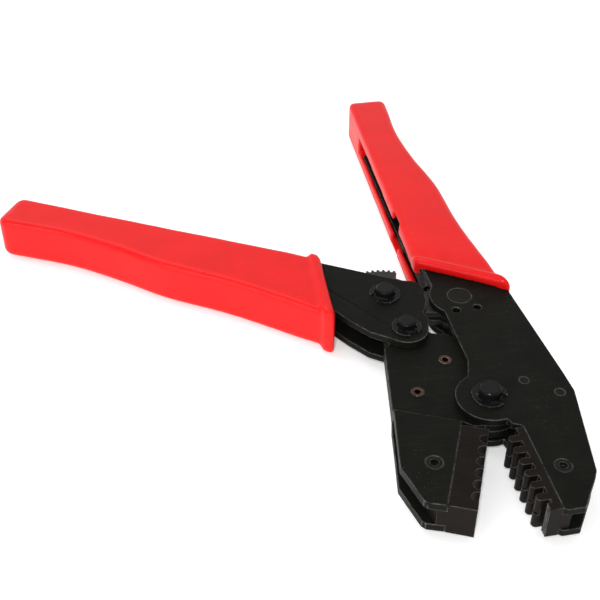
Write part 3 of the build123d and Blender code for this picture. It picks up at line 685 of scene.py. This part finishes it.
# Each sleeve's front crosses v = 0 at front_u, slanted so that its inner side starts
# further back. It ends a little short of the CAD sleeve.
fronts = {
    "fixed_grip": {
        "front_u": 60.6, "slant": tan(radians(32.5)), "inner": -5.2, "inner_lip": 0.3, "short": 0.2,
    },
    "moving_grip": {
        "front_u": 58.4, "slant": tan(radians(28.4)), "inner": -6.0, "inner_lip": 1.0, "short": 1.0,
    },
}
inner_end = (grip_length / MM, -2.3)
outer_edge = [
    (36.0, 24.3), (46.3, 22.4), (64.4, 19.6), (85.9, 17.2), (109.8, 16.5),
    (130.2, 13.4), (150.5, 12.0), (169.6, 13.2), (188.0, 14.4),
]
tang_inner = -1.95
tang_bend = 112.0
tang_end = 151.1
tang_end_inner = -1.1
slot_end = 154.0
notch_from = 87.4
notch_to = 96.2
notch_half = 6.9
lip_back = 2.2             # thickness of the lips beside the slot
valley = 0.9
slant_fades_over = 60.0
groove_depth = 0.35         # of the shallow groove behind the lip
groove_fades_over = 7.0
lip_foot = 0.3              # behind the lip, where its back face reaches the sleeve
lip_fall = 1.6              # length over which that face comes down
fit = 0.05                  # between the steel and the sleeve round it
outside = -14.0             # beyond the sleeve's inner edge, where the cutters start
ahead = 30.0                # in front of the sleeve, where the cutters start
broad_swell = 0.055         # swells for each millimetre
fine_swell = 0.17
fine_share = 0.45
swell_middle = 0.35


def along_edge(points, u):
    """Height of a smooth line through points, at u."""
    last = len(points) - 1
    span = next((i for i in range(last) if u <= points[i + 1][0]), last - 1)
    (u0, v0), (u1, v1) = points[span], points[span + 1]
    before = points[span - 1] if span > 0 else points[span]
    after = points[span + 2] if span + 2 <= last else points[span + 1]
    slope0 = (v1 - before[1]) / (u1 - before[0])
    slope1 = (after[1] - v0) / (after[0] - u0)
    width = u1 - u0
    t = (u - u0) / width
    return (
        v0 * (1 + 2 * t) * (1 - t) ** 2
        + slope0 * width * t * (1 - t) ** 2
        + v1 * t * t * (3 - 2 * t)
        + slope1 * width * t * t * (t - 1)
    )


def inner_at(front, u):
    """The sleeve's inner edge at u, a straight line from its front to its end."""
    share = (u - front["front_u"]) / (inner_end[0] - front["front_u"])
    return front["inner"] + (inner_end[1] - front["inner"]) * share


def smooth_step(t):
    t = min(1.0, max(0.0, t))
    return t * t * (3 - 2 * t)


def section(low, high, half, corner, steps=7):
    """Rounded box in v and w, anticlockwise from the middle of its outer side."""
    points = []
    for turn, (v, w) in enumerate(
        [(high - corner, half - corner), (low + corner, half - corner),
         (low + corner, corner - half), (high - corner, corner - half)]
    ):
        for step in range(steps):
            angle = pi / 2 * (turn + step / (steps - 1))
            points.append((v + corner * cos(angle), w + corner * sin(angle)))
    return points


def lip_profile(sizes, back):
    """How far the sleeve stands out at a distance behind its front: a roll, then a groove."""
    width = sizes.lip_width / MM
    stand = sizes.lip_stand / MM
    rolled = sizes.lip_round / MM
    if back < rolled:
        return stand - rolled + sqrt(rolled**2 - (rolled - back) ** 2)
    fall = smooth_step((width + lip_foot - back) / lip_fall)
    groove = -groove_depth * (1 - smooth_step((back - width - lip_foot) / groove_fades_over))
    return fall * stand + (1 - fall) * groove


def sleeve_stations(sizes, front):
    """Distance behind the slanted front, outset and end inset of each section."""
    lip_end = sizes.lip_width / MM + lip_fall
    fine_step = 0.25
    count = int(lip_end / fine_step)
    stations = [(lip_end * n / count, 0.0) for n in range(count + 1)]
    end_round = sizes.end_round / MM
    body_end = grip_length / MM - front["short"] - front["front_u"] - end_round
    runs = 70
    stations += [(lip_end + (body_end - lip_end) * n / runs, 0.0) for n in range(1, runs + 1)]
    end_steps = 12
    for number in range(1, end_steps + 1):
        turn = pi / 2 * number / end_steps
        stations.append((body_end + end_round * sin(turn), end_round * (1 - cos(turn))))
    return [(back, lip_profile(sizes, back), inset) for back, inset in stations]


def sleeve_skin(sizes, front):
    """Closed outer skin of a sleeve, with the rolled lip at its slanted front."""
    front_u, slant = front["front_u"], front["slant"]
    half = lip_half / MM - sizes.lip_stand / MM
    corner = sizes.corner_round / MM
    mesh = bmesh.new()
    rings = []
    for back, outset, inset in sleeve_stations(sizes, front):
        share = 1 - smooth_step(back / slant_fades_over)
        lean = slant * share
        outer = along_edge(outer_edge, front_u + back)
        # a leaning section meets the outer edge nearer the front, found by a few tries
        for _ in range(6):
            outer = along_edge(outer_edge, front_u + back - lean * outer)
        inner = inner_at(front, front_u + back)
        low = inner - front["inner_lip"] * max(outset, 0.0) + inset
        high = outer + outset - inset
        tall = half + outset - 0.75 * inset
        ring = []
        for v, w in section(low, high, tall, max(corner + outset * 0.5 - 0.5 * inset, 0.4)):
            dip = valley * (1 - min(1.0, abs(w) / tall) ** 2) * smooth_step((-v + low + 2.5) / 2.5)
            u = front_u + back - lean * v
            ring.append(mesh.verts.new((u, v + dip, w)))
        rings.append(ring)
    for near, far in zip(rings, rings[1:]):
        for i in range(len(near)):
            j = (i + 1) % len(near)
            mesh.faces.new((near[i], near[j], far[j], far[i]))
    mesh.faces.new(rings[0][::-1])
    mesh.faces.new(rings[-1])
    bmesh.ops.recalc_face_normals(mesh, faces=mesh.faces)
    return mesh


def prism(mesh, outline, low, high):
    """Adds a closed prism over an outline in u and v to a mesh."""
    floor = [mesh.verts.new((u, v, low)) for u, v in outline]
    roof = [mesh.verts.new((u, v, high)) for u, v in outline]
    mesh.faces.new(floor[::-1])
    mesh.faces.new(roof)
    for i in range(len(outline)):
        j = (i + 1) % len(outline)
        mesh.faces.new((floor[i], floor[j], roof[j], roof[i]))
    bmesh.ops.recalc_face_normals(mesh, faces=mesh.faces)


def object_of(mesh, name):
    data = bpy.data.meshes.new(name)
    mesh.to_mesh(data)
    mesh.free()
    piece = bpy.data.objects.new(name, data)
    bpy.context.scene.collection.objects.link(piece)
    return piece


def sleeve_cutters(sizes, front):
    """The room for the plates, the slot along the inside and the notch in its lips."""
    wall = sizes.wall / MM
    steel = half_stack / MM + fit
    slot_half = plate_gap / 2 / MM
    room = []
    for u in (ahead, front["front_u"], tang_bend, tang_end):
        steel_edge = tang_inner if u < tang_end else tang_end_inner
        room.append((u, min(steel_edge, inner_at(front, u) + lip_back)))
    room.append((tang_end, along_edge(outer_edge, tang_end) - wall))
    room += [(u, along_edge(outer_edge, u) - wall) for u in range(144, 40, -6)]
    room.append((ahead, 24.0))
    slot = [(ahead, outside), (slot_end, outside), (slot_end, 1.0), (ahead, 1.0)]
    notch = [(notch_from, outside), (notch_to, outside), (notch_to, 0.0), (notch_from, 0.0)]
    cutters = []
    for name, outline, half in (
        ("room", room, steel), ("slot", slot, slot_half), ("notch", notch, notch_half)
    ):
        mesh = bmesh.new()
        prism(mesh, outline, -half, half)
        cutters.append(object_of(mesh, name))
    return cutters


def sleeve_mesh(name, sizes, front):
    """A finished sleeve in its handle's millimetres: skin, cuts, even cells, soft edges."""
    blank = object_of(sleeve_skin(sizes, front), name)
    cutters = sleeve_cutters(sizes, front)
    for cutter in cutters:
        cut = blank.modifiers.new(cutter.name, "BOOLEAN")
        cut.operation = "DIFFERENCE"
        cut.solver = "EXACT"
        cut.object = cutter
    even = blank.modifiers.new("Even cells", "REMESH")
    even.mode = "VOXEL"
    even.voxel_size = sizes.cell / MM
    soft = blank.modifiers.new("Soft edges", "SMOOTH")
    soft.factor = 0.5
    soft.iterations = 5
    mesh = shown_mesh(blank)
    for piece in [blank, *cutters]:
        bpy.data.objects.remove(piece)
    wave = sizes.unevenness / MM
    normals = [vertex.normal.copy() for vertex in mesh.vertices]
    for vertex, normal in zip(mesh.vertices, normals):
        swell = noise.noise(vertex.co * broad_swell)
        swell += fine_share * noise.noise(vertex.co * fine_swell)
        vertex.co += normal * wave * (swell - swell_middle)
    mesh.name = name
    smooth_faces(mesh)
    return mesh


def handle_matrix(origin, angle, outward):
    """From a handle's millimetres to the row frame, where outward is +1 or -1."""
    along = Vector((cos(angle), sin(angle), 0))
    across = Vector((-along.y, along.x, 0)) * outward
    turned = Matrix((along, across, Vector((0, 0, 1)))).transposed().to_4x4()
    return Matrix.Translation(origin) @ turned @ Matrix.Scale(MM, 4)


def fixed_handle_matrix():
    return handle_matrix(Vector((main_pivot.x, main_pivot.y, mid_height)), pi / 2, -1)


def moving_handle_matrix():
    line = toggle_axis - handle_pivot
    angle = atan2(line.y, line.x) + radians(handle_bend)
    pivot = Vector((handle_pivot.x, handle_pivot.y, mid_height))
    seated = handle_matrix(pivot, angle, 1)
    return seated @ Matrix.Translation((-pivot_u, -pivot_v, 0))


# ---------------------------------------------------------------- operators


class CRIMP_OT_plates(bpy.types.Operator):
    """Finish the frame, jaw and handle plates in satin black, with pale edges of rubbed steel and
    painted sheen
    """

    bl_idname = "crimp.plates"
    bl_label = "Plates"

    def execute(self, context):
        steel = context.scene.crimp_steel
        # the pale edge colour is rubbed steel and also a painted sheen where the edges catch the
        # light
        black = blackened_steel(
            "Satin black plate", steel.plate_black, steel.wear_and_sheen_steel, 0.46,
            wear_and_sheen=0.9, reach=0.5 * MM, lines=0.015, metallic=0.1, specular=0.05,
        )
        plates = [
            break_edges(f"{part}_plate_{side}", steel.edge_break)
            for part in ("frame", "jaw", "handle")
            for side in ("upper", "lower")
        ]
        plates.append(break_edges("frame_spacer_plate", steel.edge_break))
        paint(plates, black)
        return {"FINISHED"}


class CRIMP_OT_dies(bpy.types.Operator):
    """Finish the two crimping dies in machined brown-black oxide"""

    bl_idname = "crimp.dies"
    bl_label = "Dies"

    def execute(self, context):
        steel = context.scene.crimp_steel
        # pale die edges: rubbed oxide, and also a painted sheen
        oxide = blackened_steel(
            "Oxide die", steel.die_brown, shift(steel.wear_and_sheen_steel, 0.7), 0.36,
            wear_and_sheen=0.85, reach=0.35 * MM, lines=0.015, metallic=0.1, specular=0.07,
            bump=0.2,
        )
        dies = [break_edges(node, steel.fine_break) for node in ("fixed_die", "moving_die")]
        paint(dies, oxide)
        return {"FINISHED"}


class CRIMP_OT_hardware(bpy.types.Operator):
    """Finish the loose pins, clips, adjusting wheel and lock screw in glossy black, and the flush
    pins, rivets, spacers and die screws in a duller black
    """

    bl_idname = "crimp.hardware"
    bl_label = "Pins, clips and screws"

    def execute(self, context):
        steel = context.scene.crimp_steel
        # pale edges on pins, clips and flush rivets: rubbed wear, and also painted glints
        black = blackened_steel(
            "Glossy black hardware", steel.pin_black, steel.wear_and_sheen_steel, 0.12,
            wear_and_sheen=0.6, reach=0.3 * MM, lines=0.01, metallic=0.05, specular=0.12, bump=0.04,
        )
        flush = blackened_steel(
            "Painted rivet", shift(steel.plate_black, 1.1), steel.wear_and_sheen_steel, 0.38,
            wear_and_sheen=0.5, reach=0.35 * MM, metallic=0.1, specular=0.08,
        )
        loose = (
            "main_pivot_pin", "main_pivot_clip", "handle_pivot_pin", "handle_pivot_clip",
            "toggle_pin", "toggle_pin_clip", "adjuster_wheel", "adjuster_lock_screw",
        )
        riveted = (
            "toggle_adjust_pin", "frame_rivets", "fixed_handle_spacers",
            "moving_handle_spacers", "spring_anchor_pin", "pawl_pin", "fixed_die_screw",
            "moving_die_screw",
        )
        for nodes, material in ((loose, black), (riveted, flush)):
            pieces = [break_edges(node, steel.fine_break) for node in nodes]
            paint(pieces, material)
        return {"FINISHED"}


class CRIMP_OT_rivets(bpy.types.Operator):
    """Finish the jaw's two hollow rivets in copper"""

    bl_idname = "crimp.rivets"
    bl_label = "Copper rivets"

    def execute(self, context):
        steel = context.scene.crimp_steel
        # near-white edges on the copper: rubbed metal, and also a painted highlight
        copper = blackened_steel(
            "Tarnished copper", steel.copper, shift(steel.wear_and_sheen_steel, 2.0), 0.26,
            wear_and_sheen=0.8, reach=0.3 * MM, lines=0.05, metallic=0.95, specular=0.5, spread=0.6,
        )
        rivets = break_edges("jaw_rivets", steel.fine_break)
        paint([rivets], copper)
        return {"FINISHED"}


class CRIMP_OT_linkage(bpy.types.Operator):
    """Finish the toothed toggle link, its spring post and the pawl"""

    bl_idname = "crimp.linkage"
    bl_label = "Toggle link and pawl"

    def execute(self, context):
        steel = context.scene.crimp_steel
        # pale edges: rubbed steel, and also a painted sheen
        hardened = blackened_steel(
            "Hardened link", steel.link_grey, steel.wear_and_sheen_steel, 0.40,
            wear_and_sheen=0.9, reach=0.3 * MM, lines=0.10, turn=0.6, metallic=0.7, specular=0.4,
        )
        moved = [
            break_edges(node, steel.fine_break)
            for node in ("toggle_link", "link_spring_pin", "pawl")
        ]
        paint(moved, hardened)
        return {"FINISHED"}


class CRIMP_OT_springs(bpy.types.Operator):
    """Wind the return spring and the pawl's torsion spring"""

    bl_idname = "crimp.springs"
    bl_label = "Springs"

    def execute(self, context):
        sizes = context.scene.crimp_springs
        steel = context.scene.crimp_steel
        # bright wire edges: rubbed wire, and also a painted sheen
        wire = blackened_steel(
            "Spring wire", sizes.dark_wire, sizes.bright_wire, 0.30,
            wear_and_sheen=0.4, reach=0.15 * MM, metallic=0.8, specular=0.4,
        )
        for node, path, thickness in (
            ("return_spring", return_spring_path(sizes), sizes.wire),
            ("pawl_spring", pawl_spring_path(sizes), sizes.pawl_wire),
        ):
            name = f"{node}_wire"
            new_piece(name, wire_mesh(name, path, thickness / 2), node, wire)
        return {"FINISHED"}


def helix(centre, axis, side, radius, turns, length, start_angle=0.0, per_turn=20):
    """Points of a helix about an axis, starting square to it on one side."""
    other = axis.cross(side)
    count = round(turns * per_turn)
    points = []
    for number in range(count + 1):
        angle = start_angle + 2 * pi * number / per_turn
        away = side * cos(angle) + other * sin(angle)
        points.append(centre + axis * (length * number / count) + away * radius)
    return points


hook_play = 0.15 * MM       # between a hook and its pin


def return_spring_path(sizes):
    """From the long hook on the link's post, along the coils, to the ring on the anchor pin."""
    post = Vector((spring_post.x, spring_post.y, mid_height))
    anchor = Vector((spring_anchor.x, spring_anchor.y, mid_height))
    along = (anchor - post).normalized()
    across = Vector((0, 0, 1)).cross(along)
    slack = hook_play + sizes.wire / 2
    hook = radius_of("link_spring_pin") + sizes.hook_aside + slack
    ring = radius_of("spring_anchor_pin") + slack
    coil_from = sizes.hook_back + hook + sizes.straight
    coil_to = (anchor - post).length - ring - sizes.straight
    turns = int((coil_to - coil_from) / sizes.wire)
    steps = 20

    def spot(u, v):
        return post + along * u + across * v

    bend = [pi / 2 * number / (steps // 2) for number in range(steps // 2 + 1)]
    points = [spot(sizes.hook_back + hook * sin(a), hook * cos(a)) for a in bend[-4::-1]]
    for number in range(steps + 1):
        turn = pi / 2 + pi * number / steps
        points.append(spot(hook * cos(turn) - sizes.hook_away, hook * sin(turn)))
    points += [spot(sizes.hook_back + hook * sin(a), -hook * cos(a)) for a in bend[:-2]]
    points.append(spot(coil_from - 0.5 * sizes.straight, -0.2 * sizes.coil_radius))
    points += helix(
        spot(coil_from, 0), along, -across, sizes.coil_radius, turns, coil_to - coil_from
    )
    points.append(spot(coil_to + 0.5 * sizes.straight, -0.3 * sizes.coil_radius))
    for number in range(steps + 1):
        turn = radians(200) + radians(300) * number / steps
        points.append(anchor + (along * cos(turn) + across * sin(turn)) * ring)
    return points


def pawl_spring_path(sizes):
    """A straight leg, a little over two turns round the pawl's pin, and a second leg."""
    low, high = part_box("pawl_spring")
    up = Vector((0, 0, 1))
    radius = sizes.pawl_coil
    base = Vector((pawl_axis.x, pawl_axis.y, low.z + sizes.pawl_wire / 2))
    rise = high.z - low.z - sizes.pawl_wire
    tip = middle("pawl") - pawl_axis
    first = atan2(tip.y, tip.x)
    line = toggle_axis - handle_pivot
    second = atan2(line.y, line.x) + radians(handle_bend)
    from_angle = first - pi / 2
    turned = (second - pi / 2 - from_angle) % (2 * pi)
    turns = 1 + turned / (2 * pi)
    coil = helix(base, up, Vector((1, 0, 0)), radius, turns, rise, from_angle, 24)
    lead = Vector((cos(first), sin(first), 0))
    tail = Vector((cos(second), sin(second), 0))
    return [coil[0] - lead * 0.2 * sizes.pawl_leg, *coil, coil[-1] + tail * sizes.pawl_leg]


class CRIMP_OT_grips(bpy.types.Operator):
    """Mould the two red sleeves over the handles"""

    bl_idname = "crimp.grips"
    bl_label = "Handle sleeves"

    def execute(self, context):
        sizes = context.scene.crimp_grip
        pvc = red_pvc("Red PVC", sizes)
        for node, place in (
            ("fixed_grip", fixed_handle_matrix()), ("moving_grip", moving_handle_matrix())
        ):
            mesh = sleeve_mesh(f"{node}_sleeve", sizes, fronts[node])
            mesh.transform(place)
            if place.determinant() < 0:
                mesh.flip_normals()
            new_piece(f"{node}_sleeve", mesh, node, pvc)
        return {"FINISHED"}


class CRIMP_OT_stage(bpy.types.Operator):
    """Lay the pale floor, hang the soft lights and set the camera"""

    bl_idname = "crimp.stage"
    bl_label = "Floor, light and camera"

    def execute(self, context):
        stage = context.scene.crimp_stage
        lay_floor(stage)
        set_room_light(context.scene, stage)
        # each lamp's name, power, width and place
        for name, power, size, place in (
            ("overhead light", stage.key_power, 0.7, (-0.25, 0.30, 0.75)),
            ("front light", stage.front_power, 0.5, (-0.60, -0.48, 0.28)),
            ("spark light", stage.spark_power, 0.03, (-0.12, -0.42, 0.46)),
        ):
            hang_light(name, power, size, Vector(place))
        set_camera(context.scene, stage)
        return {"FINISHED"}


def lay_floor(stage):
    """A wide floor that curves up at the back, a hair below the tool."""
    mesh = bmesh.new()
    reach = 4.0
    drop = 0.05 * MM
    flat_to = 1.6
    bend = 0.8
    wall_top = 3.0
    steps = 12
    profile = [(-reach, -drop), (flat_to, -drop)]
    for number in range(1, steps + 1):
        turn = pi / 2 * number / steps
        profile.append((flat_to + bend * sin(turn), bend * (1 - cos(turn)) - drop))
    profile.append((flat_to + bend, wall_top))
    left = [mesh.verts.new((-reach, y, z)) for y, z in profile]
    right = [mesh.verts.new((reach, y, z)) for y, z in profile]
    for i in range(len(profile) - 1):
        mesh.faces.new((left[i], right[i], right[i + 1], left[i + 1]))
    floor = object_of(mesh, "floor")
    smooth_faces(floor.data)
    material = bpy.data.materials.new("Pale floor")
    material.use_nodes = True
    tree = material.node_tree
    shader = tree.nodes["Principled BSDF"].inputs
    grain = place_group(tree, effect("grain"), {"Clouds per metre": 4.0})
    tone = add_node(
        tree, "Mix",
        {"Factor": grain["Clouds"], 6: (*shift(stage.floor_colour, 0.985), 1),
         7: (*shift(stage.floor_colour, 1.015), 1)},
        data_type="RGBA",
    ).outputs[2]
    tree.links.new(tone, shader["Base Color"])
    shader["Roughness"].default_value = 0.9
    shader["Specular IOR Level"].default_value = 0.1
    shader["Emission Color"].default_value = (1.0, 1.0, 1.0, 1.0)
    shader["Emission Strength"].default_value = stage.floor_glow
    paint([floor], material)


def set_room_light(scene, stage):
    world = bpy.data.worlds.new("Room")
    world.use_nodes = True
    room = world.node_tree.nodes["Background"].inputs
    room["Color"].default_value = (1.0, 1.0, 1.0, 1.0)
    room["Strength"].default_value = stage.sky
    scene.world = world
    scene.view_settings.view_transform = "Standard"


def hang_light(name, power, size, place):
    lamp = bpy.data.lights.new(name, "AREA")
    lamp.shape = "DISK"
    lamp.size = size
    lamp.energy = power
    hung = bpy.data.objects.new(name, lamp)
    hung.location = place
    hung.rotation_euler = (-place).to_track_quat("-Z", "Y").to_euler()
    bpy.context.scene.collection.objects.link(hung)


def set_camera(scene, stage):
    view = bpy.data.cameras.new("camera")
    view.lens = stage.lens
    view.sensor_width = 36.0
    view.clip_start = 0.01
    view.clip_end = 20.0
    camera = bpy.data.objects.new("camera", view)
    pivot = Vector((main_pivot.x, main_pivot.y, mid_height))
    place = pivot + Vector(stage.camera_place)
    look = (pivot + Vector(stage.camera_target) - place).to_track_quat("-Z", "Y")
    rolled = look.to_matrix() @ Matrix.Rotation(stage.camera_roll, 3, "Z")
    camera.rotation_euler = rolled.to_euler()
    camera.location = place
    scene.collection.objects.link(camera)
    scene.camera = camera


class CRIMP_PT_tools(bpy.types.Panel):
    """Lists the operators that build the crimping tool"""

    bl_idname = "CRIMP_PT_tools"
    bl_label = "Crimping tool"
    bl_space_type = "VIEW_3D"
    bl_region_type = "UI"
    bl_category = "Crimping tool"

    def draw(self, context):
        for operator in operators:
            self.layout.operator(operator.bl_idname)


groups = {
    "crimp_grip": GripSettings,
    "crimp_steel": SteelSettings,
    "crimp_springs": SpringSettings,
    "crimp_stage": StageSettings,
}
operators = (
    CRIMP_OT_plates,
    CRIMP_OT_dies,
    CRIMP_OT_hardware,
    CRIMP_OT_rivets,
    CRIMP_OT_linkage,
    CRIMP_OT_springs,
    CRIMP_OT_grips,
    CRIMP_OT_stage,
)
classes = (*groups.values(), *operators, CRIMP_PT_tools)


def register():
    for kind in classes:
        bpy.utils.register_class(kind)
    for name, group in groups.items():
        setattr(bpy.types.Scene, name, bpy.props.PointerProperty(type=group))


def unregister():
    for name in groups:
        delattr(bpy.types.Scene, name)
    for kind in reversed(classes):
        bpy.utils.unregister_class(kind)


def main():
    register()
    bpy.ops.crimp.plates()
    bpy.ops.crimp.dies()
    bpy.ops.crimp.hardware()
    bpy.ops.crimp.rivets()
    bpy.ops.crimp.linkage()
    bpy.ops.crimp.springs()
    bpy.ops.crimp.grips()
    bpy.ops.crimp.stage()


if __name__ == "__main__":
    main()
